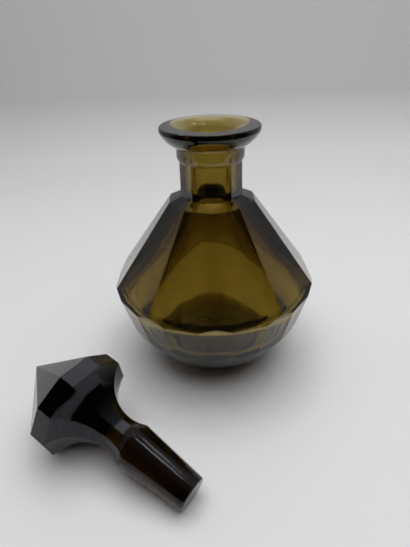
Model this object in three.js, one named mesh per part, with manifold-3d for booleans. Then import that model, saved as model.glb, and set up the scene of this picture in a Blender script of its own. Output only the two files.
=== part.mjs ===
// A cut-glass liqueur decanter with its solid glass stopper lying in front of it.
// Millimetres, +Z up. The origin is the middle of the bottle's foot, on the table; the viewer is at -Y.
import * as THREE from 'three';
import { mergeVertices } from 'three/addons/utils/BufferGeometryUtils.js';
import Module from 'manifold-3d';

// Cutting: flats round the body, the neck and the stopper, and the steps of a round stretch
const PANELS = 10;
const LOWER_FACETS = 2 * PANELS;
const ROUND_STEPS = 90;
const BORE_STEPS = 50;
const LONG_ARC_STEPS = 7;
const SHORT_ARC_STEPS = 3;
const FLUTE_STEPS = 16;

// Bottle, from the table up. Each rise is one stretch of the outside
const FOOT_RISE = 2;
const HEEL_RISE = 26;
const LOWER_FACET_RISE = 21;
const PANEL_RISE = 40;
const SHOULDER_RISE = 2.5;
const NECK_RISE = 18.1;
const COLLAR_RISE = 4.1;
const LIP_RISE = 8.9;

// Bottle, distances from its axis. The body and the neck are measured to the corners of their cutting
const FOOT_RADIUS = 23;
const HEEL_RADIUS = 45.4;
const BELLY_RADIUS = 50.4;
const SHOULDER_RADIUS = 21;
const NECK_BASE_RADIUS = 15;
const NECK_TOP_RADIUS = 14.8;
const COLLAR_RADIUS = 15.6;
const LIP_RADIUS = 22.7;
const FUNNEL_RADIUS = 16;

// Bottle, small forms
const FOOT_CHAMFER = 0.5;
const HEEL_BULGE = 2.2;
const BLANK_SPREAD = 8.4;
const CORNER_TRIM = 0.4;
const COLLAR_UNDERCUT = 2.9;
const UNDERCUT_BULGE = 0.3;
const LIP_BULGE = 0.9;
const LIP_EDGE = 1.4;
const LIP_CHAMFER = 0.7;
const FUNNEL_DEPTH = 5.6;
const FUNNEL_BULGE = 0.9;

// Inside of the bottle. The walls are measured level, from the round heel and from the flats of the panels
const BASE_THICKNESS = 18.5;
const FLOOR_RADIUS = 33;
const FLOOR_CORNER_BULGE = 0.8;
const HEEL_INSIDE_RISE = 12.5;
const HEEL_WALL = 3.9;
const BELLY_WALL = 3.4;
const BELLY_INSIDE_DROP = 3;
const BELLY_INSIDE_RISE = 5;
const BELLY_INSIDE_LEAN = 1.5;
const BELLY_INSIDE_BULGE = 0.8;
const CONE_DROP = 3;
const CONE_BULGE = 1.5;
const NECK_HOLLOW_RADIUS = 8.6;
const GROUND_BORE_LENGTH = 20;

// Stopper, along its axis from the end of the peg
const PEG_LENGTH = 30.8;
const WAIST_FROM_PEG = 7.6;
const FLUTE_RISE = 18.5;
const GIRDLE_RISE = 7.2;
const CROWN_RISE = 24.9;

// Stopper, distances from its axis. The head is measured to its corners and the waist to its flats
const PEG_END_RADIUS = 7.1;
const PEG_TOP_RADIUS = 9.6;
const WAIST_RADIUS = 7.4;
const HEAD_RADIUS = 22.7;
const PEG_CHAMFER = 0.5;
const APEX_BLUNTING = 0.5;
const FLUTE_RUN_OUT = 0.4;
const SEAT_CLEARANCE = 0.25;

// Where the stopper lies on the table: the middle of its peg's end, and the way its point faces
const STOPPER_X = -10.5;
const STOPPER_Y = -97.5;
const STOPPER_HEADING = THREE.MathUtils.degToRad(145.5);

const heelLine = FOOT_RISE + HEEL_RISE;
const belly = heelLine + LOWER_FACET_RISE;
const shoulder = belly + PANEL_RISE;
const neckBase = shoulder + SHOULDER_RISE;
const collarBottom = neckBase + NECK_RISE;
const lipBottom = collarBottom + COLLAR_RISE;
const rim = lipBottom + LIP_RISE;
const seat = rim - FUNNEL_DEPTH;

const panelHalfAngle = Math.PI / PANELS;
const facetHalfAngle = Math.PI / LOWER_FACETS;
const toFlat = Math.cos(panelHalfAngle);
const past = 5; // how far a cutting solid reaches past the piece that it cuts

const wasm = await Module();
wasm.setup();

// A closed three.js geometry as a solid that can be cut and joined
function solid(geometry) {
  geometry.deleteAttribute('normal');
  geometry.deleteAttribute('uv');
  const merged = mergeVertices(geometry);
  const corners = [];
  for (let i = 0; i < merged.index.count; i += 3) {
    const [a, b, c] = [0, 1, 2].map((k) => merged.index.getX(i + k));
    if (a !== b && b !== c && c !== a) corners.push(a, b, c);
  }
  const mesh = new wasm.Mesh({
    numProp: 3,
    vertProperties: Float32Array.from(merged.attributes.position.array),
    triVerts: Uint32Array.from(corners),
  });
  return new wasm.Manifold(mesh);
}

// A solid turned round Z from [radius, height] points. Few sides give a prism with a corner at -Y
function turned(points, sides, phase = 0) {
  const profile = points.map(([radius, height]) => new THREE.Vector2(radius, height));
  const geometry = new THREE.LatheGeometry(profile, sides, phase);
  return solid(geometry.rotateX(Math.PI / 2));
}

// Points of a circular arc between two profile points, which stands out from its chord by the bulge.
// A positive bulge lies to the right of the way from start to end
function arc(start, end, bulge, steps) {
  const from = new THREE.Vector2(...start);
  const to = new THREE.Vector2(...end);
  const chord = to.clone().sub(from);
  const half = chord.length() / 2;
  const radius = (half * half + bulge * bulge) / (2 * Math.abs(bulge));
  const aside = new THREE.Vector2(chord.y, -chord.x).normalize().multiplyScalar(Math.sign(bulge));
  const centre = from.clone().add(to).multiplyScalar(0.5);
  centre.addScaledVector(aside, Math.abs(bulge) - radius);
  const sweep = 2 * Math.asin(half / radius) * Math.sign(bulge);
  return Array.from({ length: steps + 1 }, (_, i) => {
    const point = from.clone().rotateAround(centre, (sweep * i) / steps);
    return [point.x, point.y];
  });
}

// The peg's radius at a distance from its end, which the ground bore repeats with its clearance
function pegRadius(fromEnd) {
  return PEG_END_RADIUS + ((PEG_TOP_RADIUS - PEG_END_RADIUS) * fromEnd) / PEG_LENGTH;
}

// The blown body before cutting: a small flat foot, a round heel and room for the facets above it
function bodyBlank() {
  return turned([
    [0, 0],
    [FOOT_RADIUS - FOOT_CHAMFER, 0],
    [FOOT_RADIUS, FOOT_CHAMFER],
    ...arc([FOOT_RADIUS, FOOT_RISE], [HEEL_RADIUS, heelLine], HEEL_BULGE, LONG_ARC_STEPS),
    [HEEL_RADIUS + BLANK_SPREAD, belly],
    [HEEL_RADIUS + BLANK_SPREAD, neckBase + past],
    [0, neckBase + past],
  ], ROUND_STEPS);
}

// Ten long panels, twenty lower facets under them and ten short bevels on the shoulder
function cutBody() {
  const panelLean = (BELLY_RADIUS - SHOULDER_RADIUS) / PANEL_RISE;
  const panels = turned([
    [0, -past],
    [BELLY_RADIUS + panelLean * (belly + past), -past],
    [SHOULDER_RADIUS - panelLean * (SHOULDER_RISE + past), neckBase + past],
    [0, neckBase + past],
  ], PANELS);
  const facetTop = (BELLY_RADIUS + CORNER_TRIM) / Math.cos(facetHalfAngle);
  const facetLean = (facetTop - HEEL_RADIUS) / LOWER_FACET_RISE;
  const lowerFacets = turned([
    [0, -past],
    [HEEL_RADIUS - facetLean * (heelLine + past), -past],
    [facetTop + facetLean * (neckBase + past - belly), neckBase + past],
    [0, neckBase + past],
  ], LOWER_FACETS, facetHalfAngle);
  const bevelLean = (SHOULDER_RADIUS - NECK_BASE_RADIUS) / SHOULDER_RISE;
  const bevels = turned([
    [0, -past],
    [SHOULDER_RADIUS + bevelLean * (shoulder + past), -past],
    [NECK_BASE_RADIUS - bevelLean * CORNER_TRIM, neckBase + CORNER_TRIM],
    [0, neckBase + CORNER_TRIM],
  ], PANELS);
  return bodyBlank().intersect(panels).intersect(lowerFacets).intersect(bevels);
}

// The neck is cut to ten flats, which run out in scallops where they meet the round collar
function neckFlats() {
  return turned([
    [0, shoulder - SHOULDER_RISE],
    [NECK_BASE_RADIUS, shoulder - SHOULDER_RISE],
    [NECK_BASE_RADIUS, neckBase],
    [NECK_TOP_RADIUS, collarBottom],
    [0, collarBottom],
  ], PANELS);
}

// The round collar and the flared lip, polished and not cut
function collarAndLip() {
  const neckFlat = NECK_TOP_RADIUS * toFlat;
  const undercutBottom = collarBottom - COLLAR_UNDERCUT;
  const edgeBottom = rim - LIP_CHAMFER - LIP_EDGE;
  return turned([
    [0, undercutBottom],
    ...arc([neckFlat, undercutBottom], [COLLAR_RADIUS, collarBottom], UNDERCUT_BULGE, SHORT_ARC_STEPS),
    ...arc([COLLAR_RADIUS, lipBottom], [LIP_RADIUS, edgeBottom], LIP_BULGE, LONG_ARC_STEPS),
    [LIP_RADIUS, rim - LIP_CHAMFER],
    [LIP_RADIUS - LIP_CHAMFER, rim],
    [0, rim],
  ], ROUND_STEPS);
}

// The hollow: a wide funnel, the ground bore that takes the peg, a cone that leaves the glass thick at the
// shoulder, a rounded turn just under the belly, and a flat floor on the thick base
function hollow() {
  const boreBottom = seat - GROUND_BORE_LENGTH;
  const boreBottomRadius = pegRadius(PEG_LENGTH - GROUND_BORE_LENGTH) + SEAT_CLEARANCE;
  const bellyInside = BELLY_RADIUS * toFlat - BELLY_WALL;
  const turnTop = belly - BELLY_INSIDE_DROP;
  const heelInside = [HEEL_RADIUS - HEEL_WALL, BASE_THICKNESS + HEEL_INSIDE_RISE];
  const bellyBelow = [bellyInside, turnTop - BELLY_INSIDE_RISE];
  const bellyAbove = [bellyInside - BELLY_INSIDE_LEAN, turnTop];
  const coneTop = [NECK_HOLLOW_RADIUS, shoulder - CONE_DROP];
  return turned([
    [0, BASE_THICKNESS],
    ...arc([FLOOR_RADIUS, BASE_THICKNESS], heelInside, FLOOR_CORNER_BULGE, SHORT_ARC_STEPS),
    ...arc(bellyBelow, bellyAbove, BELLY_INSIDE_BULGE, LONG_ARC_STEPS),
    ...arc(bellyAbove, coneTop, -CONE_BULGE, LONG_ARC_STEPS).slice(1),
    [boreBottomRadius, boreBottom],
    ...arc([PEG_TOP_RADIUS + SEAT_CLEARANCE, seat], [FUNNEL_RADIUS, rim], -FUNNEL_BULGE, SHORT_ARC_STEPS),
    [FUNNEL_RADIUS, rim + past],
    [0, rim + past],
  ], BORE_STEPS);
}

// The solid stopper, standing on the end of its peg: a ground round peg, then ten long concave flutes,
// an upright girdle and a low pyramid crown, all cut with the same ten sides
function stopperSolid() {
  const waist = PEG_LENGTH + WAIST_FROM_PEG;
  const girdle = waist + FLUTE_RISE;
  const crown = girdle + GIRDLE_RISE;
  const apex = crown + CROWN_RISE;
  const turnedBlank = turned([
    [0, 0],
    [PEG_END_RADIUS - PEG_CHAMFER, 0],
    [PEG_END_RADIUS, PEG_CHAMFER],
    [PEG_TOP_RADIUS, PEG_LENGTH],
    [PEG_TOP_RADIUS, PEG_LENGTH + PEG_CHAMFER],
    [HEAD_RADIUS + past, waist],
    [HEAD_RADIUS + past, apex + past],
    [0, apex + past],
  ], ROUND_STEPS);
  const headFlat = HEAD_RADIUS * toFlat;
  const wheelAngle = 2 * Math.atan((headFlat - WAIST_RADIUS) / FLUTE_RISE);
  const wheelRadius = FLUTE_RISE / Math.sin(wheelAngle);
  const runOut = -Math.acos(1 - (PEG_TOP_RADIUS + FLUTE_RUN_OUT - WAIST_RADIUS) / wheelRadius);
  const flute = Array.from({ length: FLUTE_STEPS + 1 }, (_, i) => {
    const angle = runOut + ((wheelAngle - runOut) * i) / FLUTE_STEPS;
    const flat = WAIST_RADIUS + wheelRadius * (1 - Math.cos(angle));
    return [flat / toFlat, waist + wheelRadius * Math.sin(angle)];
  });
  const cutSides = turned([
    [0, -past],
    [HEAD_RADIUS, -past],
    [HEAD_RADIUS, flute[0][1]],
    ...flute,
    [HEAD_RADIUS, crown],
    [APEX_BLUNTING, apex - APEX_BLUNTING],
    [0, apex],
  ], PANELS);
  return turnedBlank.intersect(cutSides);
}

// The stopper rests on one edge of its girdle and on the rim of its peg
function layStopper(mesh) {
  const girdle = PEG_LENGTH + WAIST_FROM_PEG + FLUTE_RISE;
  const lean = Math.atan2(HEAD_RADIUS * toFlat - PEG_END_RADIUS, girdle - PEG_CHAMFER);
  mesh.rotation.set(0, Math.PI / 2 - lean, 0);
  const height = PEG_END_RADIUS * Math.cos(lean) - PEG_CHAMFER * Math.sin(lean);
  const turn = new THREE.Group();
  turn.position.set(STOPPER_X, STOPPER_Y, height);
  turn.rotation.z = STOPPER_HEADING;
  turn.add(mesh);
  return turn;
}

function asMesh(name, shape, material) {
  const { vertProperties, triVerts } = shape.getMesh();
  const geometry = new THREE.BufferGeometry();
  geometry.setAttribute('position', new THREE.BufferAttribute(vertProperties, 3));
  geometry.setIndex(new THREE.BufferAttribute(triVerts, 1));
  const mesh = new THREE.Mesh(geometry, material);
  mesh.name = name;
  return mesh;
}

const smokyGlass = new THREE.MeshStandardMaterial({
  color: 0x5a4a1e,
  roughness: 0.05,
  metalness: 0,
  transparent: true,
  opacity: 0.75,
  flatShading: true,
});
const darkGlass = smokyGlass.clone();
darkGlass.color.set(0x2a2626);

const bottleShape = cutBody().add(neckFlats()).add(collarAndLip()).subtract(hollow());
const decanter = new THREE.Group();
decanter.add(asMesh('bottle', bottleShape, smokyGlass));
decanter.add(layStopper(asMesh('stopper', stopperSolid(), darkGlass)));

export default decanter;
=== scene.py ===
import math

import bmesh
import bpy
from mathutils import Euler, Matrix, Quaternion, Vector


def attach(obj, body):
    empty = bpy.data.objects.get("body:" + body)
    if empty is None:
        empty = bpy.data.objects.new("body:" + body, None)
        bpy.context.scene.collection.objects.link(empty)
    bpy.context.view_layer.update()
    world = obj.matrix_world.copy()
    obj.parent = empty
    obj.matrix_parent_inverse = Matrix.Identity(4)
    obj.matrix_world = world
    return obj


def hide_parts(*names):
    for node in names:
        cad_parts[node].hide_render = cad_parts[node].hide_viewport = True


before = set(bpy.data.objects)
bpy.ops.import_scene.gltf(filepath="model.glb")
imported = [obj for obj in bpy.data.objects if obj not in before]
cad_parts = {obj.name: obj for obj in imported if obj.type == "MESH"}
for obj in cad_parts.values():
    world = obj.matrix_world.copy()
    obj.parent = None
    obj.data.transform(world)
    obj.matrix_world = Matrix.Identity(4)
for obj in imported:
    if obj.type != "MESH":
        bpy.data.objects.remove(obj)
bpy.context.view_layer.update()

# Bottle body. Smoky olive-brown glass, blown thick and then cut on the wheel: a small flat foot, a round
# heel, twenty lower facets, ten long panels and ten bevels that lead up to the neck.
PANELS = 10
LOWER_FACETS = 2 * PANELS
ROUND_STEPS = 240
ARC_STEPS = 24
FOOT_RISE = 0.002
HEEL_RISE = 0.026
LOWER_FACET_RISE = 0.021
PANEL_RISE = 0.040
SHOULDER_RISE = 0.0025
FOOT_RADIUS = 0.023
HEEL_RADIUS = 0.0454
BELLY_RADIUS = 0.0504
SHOULDER_RADIUS = 0.021
NECK_BASE_RADIUS = 0.015
FOOT_CHAMFER = 0.0005
HEEL_BULGE = 0.0022
BLANK_SPREAD = 0.0084
CORNER_TRIM = 0.0004
POLISHED_EDGE = 0.00016
PAST = 0.005  # how far a blank reaches past the piece that is cut from it
CUT_SNAP = 1e-8

heel_line = FOOT_RISE + HEEL_RISE
belly = heel_line + LOWER_FACET_RISE
shoulder = belly + PANEL_RISE
neck_base = shoulder + SHOULDER_RISE


def arc(start, end, bulge, steps=ARC_STEPS):
    """Points of an arc between two (radius, height) points. A positive bulge lies right of the way."""
    start, end = Vector(start), Vector(end)
    chord = end - start
    half = chord.length / 2
    radius = (half * half + bulge * bulge) / (2 * abs(bulge))
    side = math.copysign(1, bulge)
    aside = Vector((chord.y, -chord.x)).normalized() * side
    centre = (start + end) / 2 + aside * (abs(bulge) - radius)
    sweep = 2 * math.asin(half / radius) * side
    turns = [Matrix.Rotation(sweep * i / steps, 2) for i in range(steps + 1)]
    return [tuple(centre + turn @ (start - centre)) for turn in turns]


def turned(profile, steps=ROUND_STEPS):
    """A closed solid turned round Z from (radius, height) points, with a flat disc at each end."""
    glass = bmesh.new()
    rings = []
    for radius, height in profile:
        angles = [2 * math.pi * step / steps - math.pi / 2 for step in range(steps)]
        ring = [glass.verts.new((radius * math.cos(a), radius * math.sin(a), height)) for a in angles]
        rings.append(ring)
    for low, high in zip(rings, rings[1:]):
        for i in range(steps):
            j = (i + 1) % steps
            glass.faces.new((low[i], low[j], high[j], high[i])).smooth = True
    glass.faces.new(reversed(rings[0])).smooth = False
    glass.faces.new(rings[-1]).smooth = False
    return glass


def grind_flat(glass, point, outward):
    """Takes away all glass outside a plane and closes the cut with one flat face."""
    everything = glass.verts[:] + glass.edges[:] + glass.faces[:]
    cut = bmesh.ops.bisect_plane(
        glass, geom=everything, dist=CUT_SNAP, plane_co=point, plane_no=outward, clear_outer=True
    )
    outline = [part for part in cut["geom_cut"] if isinstance(part, bmesh.types.BMEdge)]
    if not outline:
        return
    for face in bmesh.ops.edgeloop_fill(glass, edges=outline)["faces"]:
        face.smooth = False


def grind_round(glass, count, low, high, phase=0.0):
    """Grinds count flats all round. Low and high are (radius, height) points on their corners."""
    to_flat = math.cos(math.pi / count)
    for step in range(count):
        angle = phase - math.pi / 2 + 2 * math.pi * (step + 0.5) / count
        outward = Vector((math.cos(angle), math.sin(angle), 0))
        across = Vector((-math.sin(angle), math.cos(angle), 0))
        point = outward * low[0] * to_flat + Vector((0, 0, low[1]))
        along = outward * (high[0] - low[0]) * to_flat + Vector((0, 0, high[1] - low[1]))
        grind_flat(glass, point, across.cross(along).normalized())


def polish_edges(glass, width, sharper_than=9):
    """Rounds the edges that the cutting left, as acid or a felt wheel does."""
    limit = math.radians(sharper_than)
    between_flats = [
        edge
        for edge in glass.edges
        if len(edge.link_faces) == 2
        and not any(face.smooth for face in edge.link_faces)
        and edge.calc_face_angle() > limit
    ]
    made = bmesh.ops.bevel(
        glass, geom=between_flats, offset=width, offset_type="OFFSET", segments=2, profile=0.5,
        affect="EDGES", clamp_overlap=True,
    )
    for face in made["faces"]:
        face.smooth = True


def crease(mesh, angle=25):
    """Breaks the smooth shading where round faces meet at an angle. Flat faces stay flat."""
    smooth = [face.use_smooth for face in mesh.polygons]
    mesh.set_sharp_from_angle(angle=math.radians(angle))
    mesh.polygons.foreach_set("use_smooth", smooth)


def as_object(name, glass):
    bmesh.ops.recalc_face_normals(glass, faces=glass.faces)
    mesh = bpy.data.meshes.new(name)
    glass.to_mesh(mesh)
    glass.free()
    made = bpy.data.objects.new(name, mesh)
    bpy.context.scene.collection.objects.link(made)
    return made


def combine(glass, other, operation):
    """Joins the other solid to the glass, or takes it away from it, and uses it up."""
    step = glass.modifiers.new(operation, "BOOLEAN")
    step.operation = operation
    step.object = other
    step.solver = "EXACT"
    result = glass.evaluated_get(bpy.context.evaluated_depsgraph_get())
    old = glass.data
    glass.data = bpy.data.meshes.new_from_object(result)
    glass.modifiers.clear()
    bpy.data.meshes.remove(old)
    bpy.data.objects.remove(other)


blank = turned([
    (FOOT_RADIUS - FOOT_CHAMFER, 0),
    (FOOT_RADIUS, FOOT_CHAMFER),
    *arc((FOOT_RADIUS, FOOT_RISE), (HEEL_RADIUS, heel_line), HEEL_BULGE),
    (HEEL_RADIUS + BLANK_SPREAD, belly),
    (HEEL_RADIUS + BLANK_SPREAD, neck_base + PAST),
])
grind_round(blank, PANELS, (BELLY_RADIUS, belly), (SHOULDER_RADIUS, shoulder))
facet_half_angle = math.pi / LOWER_FACETS
facet_top = (BELLY_RADIUS + CORNER_TRIM) / math.cos(facet_half_angle)
grind_round(blank, LOWER_FACETS, (HEEL_RADIUS, heel_line), (facet_top, belly), facet_half_angle)
grind_round(blank, PANELS, (SHOULDER_RADIUS, shoulder), (NECK_BASE_RADIUS, neck_base))
grind_flat(blank, Vector((0, 0, neck_base + CORNER_TRIM / 2)), Vector((0, 0, 1)))
polish_edges(blank, POLISHED_EDGE)
bottle = as_object("decanter_bottle", blank)

# Neck. Ten upright flats from the shoulder to the collar, cut on the same glass. They run out in scallops
# where they meet the round collar above them.
NECK_RISE = 0.0181
NECK_TOP_RADIUS = 0.0148
collar_bottom = neck_base + NECK_RISE
neck_blank_radius = NECK_BASE_RADIUS + PAST
neck = turned([(neck_blank_radius, shoulder - SHOULDER_RISE), (neck_blank_radius, collar_bottom)])
grind_round(neck, PANELS, (NECK_BASE_RADIUS, neck_base), (NECK_TOP_RADIUS, collar_bottom))
polish_edges(neck, POLISHED_EDGE)
combine(bottle, as_object("neck", neck), "UNION")

# Collar and lip. A short round collar and a flared lip with a flat top, turned while hot and fire polished.
COLLAR_RISE = 0.0041
LIP_RISE = 0.0089
COLLAR_RADIUS = 0.0156
LIP_RADIUS = 0.0227
COLLAR_UNDERCUT = 0.0029
UNDERCUT_BULGE = 0.0003
LIP_BULGE = 0.0009
LIP_EDGE = 0.0014
LIP_CHAMFER = 0.0007
LIP_CHAMFER_ROUND = 0.2
LIP_CHAMFER_STEPS = 6
lip_bottom = collar_bottom + COLLAR_RISE
rim = lip_bottom + LIP_RISE
neck_flat = NECK_TOP_RADIUS * math.cos(math.pi / PANELS)
chamfer_start = (LIP_RADIUS, rim - LIP_CHAMFER)
chamfer_end = (LIP_RADIUS - LIP_CHAMFER, rim)
collar = turned([
    *arc((neck_flat, collar_bottom - COLLAR_UNDERCUT), (COLLAR_RADIUS, collar_bottom), UNDERCUT_BULGE),
    *arc((COLLAR_RADIUS, lip_bottom), (LIP_RADIUS, rim - LIP_CHAMFER - LIP_EDGE), LIP_BULGE),
    *arc(chamfer_start, chamfer_end, LIP_CHAMFER * LIP_CHAMFER_ROUND, LIP_CHAMFER_STEPS),
])
combine(bottle, as_object("collar", collar), "UNION")

# Hollow. A wide funnel in the lip, a ground cone that takes the stopper's peg, a cone that leaves the glass
# thick at the shoulder, a rounded turn just under the belly, and a flat floor on the thick base.
FUNNEL_DEPTH = 0.0056
FUNNEL_RADIUS = 0.016
FUNNEL_BULGE = 0.0009
BASE_THICKNESS = 0.0185
FLOOR_RADIUS = 0.033
FLOOR_CORNER_BULGE = 0.0008
HEEL_INSIDE_RISE = 0.0125
HEEL_WALL = 0.0039
BELLY_WALL = 0.0034
BELLY_INSIDE_DROP = 0.003
BELLY_INSIDE_RISE = 0.005
BELLY_INSIDE_LEAN = 0.0015
BELLY_INSIDE_BULGE = 0.0008
CONE_DROP = 0.003
CONE_BULGE = 0.0015
NECK_HOLLOW_RADIUS = 0.0086
GROUND_BORE_LENGTH = 0.020
PEG_LENGTH = 0.0308
PEG_END_RADIUS = 0.0071
PEG_TOP_RADIUS = 0.0096
SEAT_CLEARANCE = 0.00025
seat = rim - FUNNEL_DEPTH
to_panel = math.cos(math.pi / PANELS)
bore_bottom = seat - GROUND_BORE_LENGTH
bore_bottom_share = 1 - GROUND_BORE_LENGTH / PEG_LENGTH
bore_bottom_radius = PEG_END_RADIUS + (PEG_TOP_RADIUS - PEG_END_RADIUS) * bore_bottom_share + SEAT_CLEARANCE
belly_inside = BELLY_RADIUS * to_panel - BELLY_WALL
turn_top = belly - BELLY_INSIDE_DROP
heel_inside = (HEEL_RADIUS - HEEL_WALL, BASE_THICKNESS + HEEL_INSIDE_RISE)
belly_below = (belly_inside, turn_top - BELLY_INSIDE_RISE)
belly_above = (belly_inside - BELLY_INSIDE_LEAN, turn_top)
hollow = turned([
    *arc((FLOOR_RADIUS, BASE_THICKNESS), heel_inside, FLOOR_CORNER_BULGE),
    *arc(belly_below, belly_above, BELLY_INSIDE_BULGE),
    *arc(belly_above, (NECK_HOLLOW_RADIUS, shoulder - CONE_DROP), -CONE_BULGE)[1:],
    (bore_bottom_radius, bore_bottom),
    *arc((PEG_TOP_RADIUS + SEAT_CLEARANCE, seat), (FUNNEL_RADIUS, rim), -FUNNEL_BULGE),
    (FUNNEL_RADIUS, rim + PAST),
])
combine(bottle, as_object("hollow", hollow), "DIFFERENCE")
crease(bottle.data)


# Bottle glass. The same smoky melt all through, polished outside and blown inside. The bore is ground to
# take the peg, and the blown walls wave a little.
class Wire:
    """A socket of a material's nodes. Arithmetic on it adds Math nodes."""

    def __init__(self, tree, socket=None):
        self.tree = tree
        self.socket = socket

    def node(self, kind, settings=None, values=None, output=0):
        made = self.tree.nodes.new(kind)
        for name, setting in (settings or {}).items():
            setattr(made, name, setting)
        for name, value in (values or {}).items():
            if isinstance(value, Wire):
                self.tree.links.new(value.socket, made.inputs[name])
            else:
                made.inputs[name].default_value = value
        return Wire(self.tree, made.outputs[output] if made.outputs else None)

    def math(self, operation, first, second):
        return self.node("ShaderNodeMath", {"operation": operation}, {0: first, 1: second})

    def __add__(self, other):
        return self.math("ADD", self, other)

    def __sub__(self, other):
        return self.math("SUBTRACT", self, other)

    def __rsub__(self, other):
        return self.math("SUBTRACT", other, self)

    def __mul__(self, other):
        return self.math("MULTIPLY", self, other)

    def __lt__(self, other):
        return self.math("LESS_THAN", self, other)

    def __gt__(self, other):
        return self.math("GREATER_THAN", self, other)

    __radd__ = __add__
    __rmul__ = __mul__


GLASS_IOR = 1.52
SMOKE_COLOUR = (0.607, 0.51, 0.017, 1)
SMOKE_DENSITY = 330
BOTTLE_SHINE = (1, 1, 1, 1)
POLISHED_ROUGHNESS = 0.012
BORE_ROUGHNESS = 0.12
GRAIN_SCALE = 2600.0
GRAIN_DETAIL = 3.0
GRAIN_STRENGTH = 0.25
GRAIN_DEPTH = 0.000015
WAVE_SCALE = 75.0
WAVE_DETAIL = 1.0
WAVE_DEPTH = 0.0012
WAVE_STRETCH = 0.25
MID_WALL_CONE_RADIUS = 0.0456
MID_WALL_CONE_SLOPE = 0.78
MID_WALL_HEEL_RADIUS = 0.0355
MID_WALL_HEEL_SLOPE = 0.63
BELOW_FLOOR = 0.0005


def smoky_glass(name, density, shine, ground_at, ground_roughness, blown_at=None):
    """Clear polished glass with smoke in the melt, ground where the ground_at mask is 1."""
    material = bpy.data.materials.new(name)
    material.use_nodes = True
    material.node_tree.nodes.clear()
    start = Wire(material.node_tree)
    place = start.node("ShaderNodeTexCoord", output=3)
    ground = ground_at(place)
    grain = place.node(
        "ShaderNodeTexNoise",
        values={"Vector": place, "Scale": GRAIN_SCALE, "Detail": GRAIN_DETAIL},
    )
    bump = place.node(
        "ShaderNodeBump",
        values={"Strength": GRAIN_STRENGTH, "Distance": GRAIN_DEPTH, "Height": grain * ground},
    )
    roughness = POLISHED_ROUGHNESS + ground * ground_roughness
    if blown_at:
        drawn = place.node(
            "ShaderNodeVectorMath", {"operation": "MULTIPLY"}, {0: place, 1: (1, 1, WAVE_STRETCH)}
        )
        waves = place.node(
            "ShaderNodeTexNoise",
            values={"Vector": drawn, "Scale": WAVE_SCALE, "Detail": WAVE_DETAIL},
        )
        bump = place.node("ShaderNodeBump", values={
            "Strength": 1.0,
            "Distance": WAVE_DEPTH,
            "Height": waves * blown_at(place),
            "Normal": bump,
        })
    surface = place.node("ShaderNodeBsdfPrincipled", values={
        "Base Color": (1, 1, 1, 1),
        "Roughness": roughness,
        "IOR": GLASS_IOR,
        "Transmission Weight": 1.0,
        "Specular Tint": shine,
        "Normal": bump,
    })
    smoke = place.node("ShaderNodeVolumeAbsorption", values={"Color": SMOKE_COLOUR, "Density": density})
    place.node("ShaderNodeOutputMaterial", values={"Surface": surface, "Volume": smoke})
    return material


def height_and_radius(place):
    """The height of each point of a piece, and its distance from the piece's axis."""
    parts = place.node("ShaderNodeSeparateXYZ", values={"Vector": place})
    height = Wire(place.tree, parts.socket.node.outputs["Z"])
    flat = place.node("ShaderNodeVectorMath", {"operation": "MULTIPLY"}, {0: place, 1: (1, 1, 0)})
    length = flat.node("ShaderNodeVectorMath", {"operation": "LENGTH"}, {0: flat}, output="Value")
    return height, length


def bore(place):
    height, radius = height_and_radius(place)
    return (radius < PEG_TOP_RADIUS + 2 * SEAT_CLEARANCE) * (height > bore_bottom) * (height < seat)


def inside(place):
    """1 on the blown inside below the neck.

    A cylinder and two cones half way through the wall part it from the outside.
    """
    height, radius = height_and_radius(place)
    belly_side = radius < belly_inside + BELLY_WALL / 2
    cone_side = radius < MID_WALL_CONE_RADIUS - MID_WALL_CONE_SLOPE * (height - turn_top)
    heel_side = radius < MID_WALL_HEEL_RADIUS + MID_WALL_HEEL_SLOPE * (height - BASE_THICKNESS)
    above_floor = height > BASE_THICKNESS - BELOW_FLOOR
    return belly_side * cone_side * heel_side * above_floor * (height < neck_base)


bottle.data.materials.clear()
bottle.data.materials.append(
    smoky_glass("smoky_glass", SMOKE_DENSITY, BOTTLE_SHINE, bore, BORE_ROUGHNESS, inside)
)
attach(bottle, "bottle")
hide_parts("bottle")

# Stopper. One solid piece of the smoky glass. It is thick, and its smoke is set denser than the bottle's as
# painted
# shade, so it looks nearly black: a round ground peg, ten concave flutes, an upright girdle and a low
# pyramid crown. It lies on its girdle and the rim of its peg.
WAIST_FROM_PEG = 0.0076
FLUTE_RISE = 0.0185
GIRDLE_RISE = 0.0072
CROWN_RISE = 0.0249
WAIST_RADIUS = 0.0074
HEAD_RADIUS = 0.0227
PEG_CHAMFER = 0.0005
POINT_RADIUS = 0.0001
FLUTE_RUN_OUT = 0.0004
FLUTE_STEPS = 64
PEG_ROUGHNESS = 0.05
# The stopper's smoke is denser than the bottle's. The extra darkness is painted shade, darker than its
# thickness alone would make it.
STOPPER_DENSITY_WITH_SHADE = 600
STOPPER_SHINE = (0.58, 0.62, 0.7, 1)
STOPPER_X = -0.0105
STOPPER_Y = -0.0975
STOPPER_HEADING = math.radians(145.5)
waist = PEG_LENGTH + WAIST_FROM_PEG
girdle = waist + FLUTE_RISE
crown = girdle + GIRDLE_RISE
apex = crown + CROWN_RISE
head_flat = HEAD_RADIUS * to_panel


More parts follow.
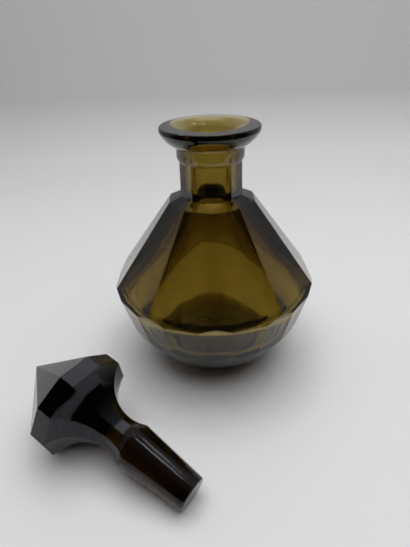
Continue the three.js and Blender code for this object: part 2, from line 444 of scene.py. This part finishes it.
def fluted_sides():
    """The outline of the ten cut sides, from the peg's end to the crown. The flutes are arcs."""
    wheel_angle = 2 * math.atan((head_flat - WAIST_RADIUS) / FLUTE_RISE)
    wheel_radius = FLUTE_RISE / math.sin(wheel_angle)
    run_out = -math.acos(1 - (PEG_TOP_RADIUS + FLUTE_RUN_OUT - WAIST_RADIUS) / wheel_radius)
    angles = [run_out + (wheel_angle - run_out) * i / FLUTE_STEPS for i in range(FLUTE_STEPS + 1)]
    flute = [
        (
            (WAIST_RADIUS + wheel_radius * (1 - math.cos(a))) / to_panel,
            waist + wheel_radius * math.sin(a),
        )
        for a in angles
    ]
    return [(HEAD_RADIUS, -PAST), (HEAD_RADIUS, flute[0][1]), *flute, (HEAD_RADIUS, apex + PAST)]


sides = turned(fluted_sides(), PANELS)
for side in sides.faces:
    side.smooth = False
stopper = as_object("decanter_stopper", sides)
round_blank = turned([
    (PEG_END_RADIUS - PEG_CHAMFER, 0),
    (PEG_END_RADIUS, PEG_CHAMFER),
    (PEG_TOP_RADIUS, PEG_LENGTH),
    (PEG_TOP_RADIUS, PEG_LENGTH + PEG_CHAMFER),
    (HEAD_RADIUS + PAST, waist),
    (HEAD_RADIUS + PAST, apex + PAST / 2),
])
combine(stopper, as_object("stopper_blank", round_blank), "INTERSECT")
head = bmesh.new()
head.from_mesh(stopper.data)
grind_round(head, PANELS, (HEAD_RADIUS, crown), (POINT_RADIUS, apex))
polish_edges(head, POLISHED_EDGE)
head.to_mesh(stopper.data)
head.free()
crease(stopper.data)

lean = math.atan2(head_flat - PEG_END_RADIUS, girdle - PEG_CHAMFER)
peg_height = PEG_END_RADIUS * math.cos(lean) - PEG_CHAMFER * math.sin(lean)
peg_end = Vector((STOPPER_X, STOPPER_Y, peg_height))
lying = Euler((0, math.pi / 2 - lean, STOPPER_HEADING))
stopper.data.transform(Matrix.LocRotScale(peg_end, lying, None))


def peg(place):
    upright = place.node(
        "ShaderNodeMapping",
        {"vector_type": "TEXTURE"},
        {"Vector": place, "Location": peg_end, "Rotation": lying},
    )
    return height_and_radius(upright)[0] < PEG_LENGTH


stopper.data.materials.clear()
stopper.data.materials.append(
    smoky_glass("stopper_glass", STOPPER_DENSITY_WITH_SHADE, STOPPER_SHINE, peg, PEG_ROUGHNESS)
)
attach(stopper, "stopper")
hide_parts("stopper")

# Table. A plain pale sheet that lies flat under the decanter and bends up behind it.
SHEET_WIDTH = 1.2
SHEET_FRONT = -0.2
SHEET_BEND_START = 0.40
SHEET_BEND_RADIUS = 0.07
SHEET_HEIGHT = 0.5
SHEET_COLOUR = (0.78, 0.78, 0.785, 1)
SHEET_ROUGHNESS = 0.9
SHEET_SHINE = 0.2
BEND_STEPS = 24


def sheet_line():
    """(y, z) points of the sheet from its front edge to the top behind."""
    bend = [math.pi / 2 * i / BEND_STEPS for i in range(BEND_STEPS + 1)]
    curve = [
        (SHEET_BEND_START + SHEET_BEND_RADIUS * math.sin(a), SHEET_BEND_RADIUS * (1 - math.cos(a)))
        for a in bend
    ]
    return [(SHEET_FRONT, 0), *curve, (SHEET_BEND_START + SHEET_BEND_RADIUS, SHEET_HEIGHT)]


sheet = bmesh.new()
pairs = [[sheet.verts.new((side * SHEET_WIDTH / 2, y, z)) for side in (-1, 1)] for y, z in sheet_line()]
for (a, b), (c, d) in zip(pairs, pairs[1:]):
    sheet.faces.new((a, b, d, c)).smooth = True
table = as_object("pale_sheet", sheet)
paper = bpy.data.materials.new("pale_paper")
paper.use_nodes = True
fibres = paper.node_tree.nodes["Principled BSDF"].inputs
fibres["Base Color"].default_value = SHEET_COLOUR
fibres["Roughness"].default_value = SHEET_ROUGHNESS
fibres["Specular IOR Level"].default_value = SHEET_SHINE
table.data.materials.append(paper)

# Light. A wide soft panel hangs overhead, with three small lamps round it that give the glints. The room is
# bright high up behind the decanter, grey at its sides, and dark on the photographer's side.
PANEL_SIZE = 1.3
PANEL_PLACE = Vector((0.12, -0.1, 1.0))
PANEL_POWER = 9.2
LAMP_SIZE = 0.16
LAMP_POWER = 0.25
LAMP_PLACES = (Vector((0.22, -0.06, 0.99)), Vector((0.44, 0.3, 0.99)), Vector((-0.65, 0.085, 0.99)))
ROOM_DARK = 0.02
ROOM_GREY = 0.33
ROOM_PALE = 1.6
ROOM_SEEN = 0.6  # what the camera sees past the edges of the table's sheet
TO_BACK = Vector((0, 1, 0))
GREY_START = -0.2
GREY_FULL = 0.3
PALE_MIDDLE = Vector((0, 0.47, 0.883))
PALE_START = 0.96
PALE_FULL = 0.99


def hang(name, place, size, power, mirrored=True):
    """A round lamp that faces straight down. The glass either mirrors it or passes its light, not both."""
    data = bpy.data.lights.new(name, "AREA")
    data.shape = "DISK"
    data.size = size
    data.energy = power
    lamp = bpy.data.objects.new(name, data)
    lamp.location = place
    lamp.visible_glossy = mirrored
    lamp.visible_transmission = not mirrored
    bpy.context.scene.collection.objects.link(lamp)


hang("soft_panel", PANEL_PLACE, PANEL_SIZE, PANEL_POWER, mirrored=False)
for place in LAMP_PLACES:
    hang("small_lamp", place, LAMP_SIZE, LAMP_POWER)


def along(way, direction, start, end):
    """Rises smoothly from 0 to 1 as the way turns towards a direction. Start and end are cosines."""
    facing = way.node(
        "ShaderNodeVectorMath", {"operation": "DOT_PRODUCT"}, {0: way, 1: direction}, output="Value"
    )
    return way.node(
        "ShaderNodeMapRange",
        {"interpolation_type": "SMOOTHSTEP"},
        {"Value": facing, "From Min": start, "From Max": end},
    )


sky = bpy.data.worlds.new("room")
sky.use_nodes = True
sky.node_tree.nodes.clear()
way = Wire(sky.node_tree).node("ShaderNodeTexCoord", output=0)
behind = along(way, TO_BACK, GREY_START, GREY_FULL)
above = along(way, PALE_MIDDLE, PALE_START, PALE_FULL)
level = ROOM_DARK + behind * (ROOM_GREY - ROOM_DARK) + above * (ROOM_PALE - ROOM_GREY)
seen = way.node("ShaderNodeLightPath", output="Is Camera Ray")
glow = way.node(
    "ShaderNodeBackground", values={"Color": (1, 1, 1, 1), "Strength": level + seen * (ROOM_SEEN - level)}
)
way.node("ShaderNodeOutputWorld", values={"Surface": glow})
bpy.context.scene.world = sky
bpy.context.scene.view_settings.view_transform = "Standard"

# Camera. It stands at the photographer's place, worked out from the corners of the cut facets.
CAMERA_PLACE = Vector((-0.000848, -0.196390, 0.162102))
CAMERA_PITCH = math.radians(30.412)
CAMERA_YAW = math.radians(-1.061)
CAMERA_ROLL = math.radians(-2.118)
FOCAL_PIXELS = 432.245
IMAGE_HEIGHT_PIXELS = 547
SENSOR = 36.0
NEAR_LIMIT = 0.005
camera_data = bpy.data.cameras.new("camera")
camera_data.sensor_width = SENSOR
camera_data.lens = SENSOR * FOCAL_PIXELS / IMAGE_HEIGHT_PIXELS
camera_data.clip_start = NEAR_LIMIT
camera = bpy.data.objects.new("camera", camera_data)
ahead = Vector((
    math.sin(CAMERA_YAW) * math.cos(CAMERA_PITCH),
    math.cos(CAMERA_YAW) * math.cos(CAMERA_PITCH),
    -math.sin(CAMERA_PITCH),
))
camera.location = CAMERA_PLACE
camera.rotation_mode = "QUATERNION"
camera.rotation_quaternion = ahead.to_track_quat("-Z", "Y") @ Quaternion((0, 0, 1), CAMERA_ROLL)
bpy.context.scene.collection.objects.link(camera)
bpy.context.scene.camera = camera
